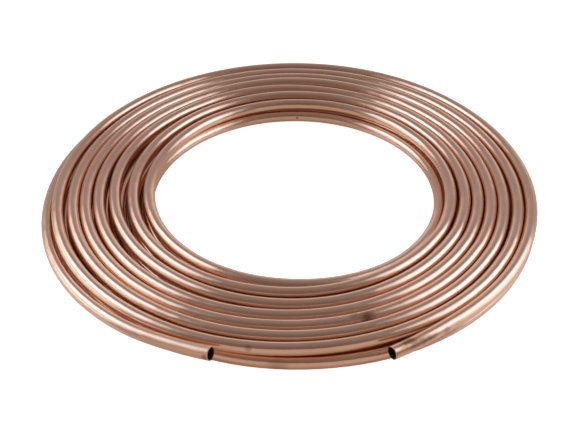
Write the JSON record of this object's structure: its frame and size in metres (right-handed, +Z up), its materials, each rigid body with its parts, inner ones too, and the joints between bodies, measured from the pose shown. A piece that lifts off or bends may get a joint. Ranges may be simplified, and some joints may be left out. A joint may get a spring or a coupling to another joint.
{
  "type": "copper tube coil",
  "caption": "Flat coil of soft round copper tube, wound in stacked layers round an open eye, with both cut ends open at its outer edge.",
  "frame": {"origin": "centre of the coil's box, on the floor that it lies on", "axes": "+Z up out of the flat coil along its eye, +X across its widest way, -Y towards the side where both cut ends lie"},
  "size_m": [0.514, 0.504, 0.0252],
  "materials": {
    "copper": null
  },
  "bodies": {
    "root": {"copper_tube": "copper"}
  },
  "joints": []
}
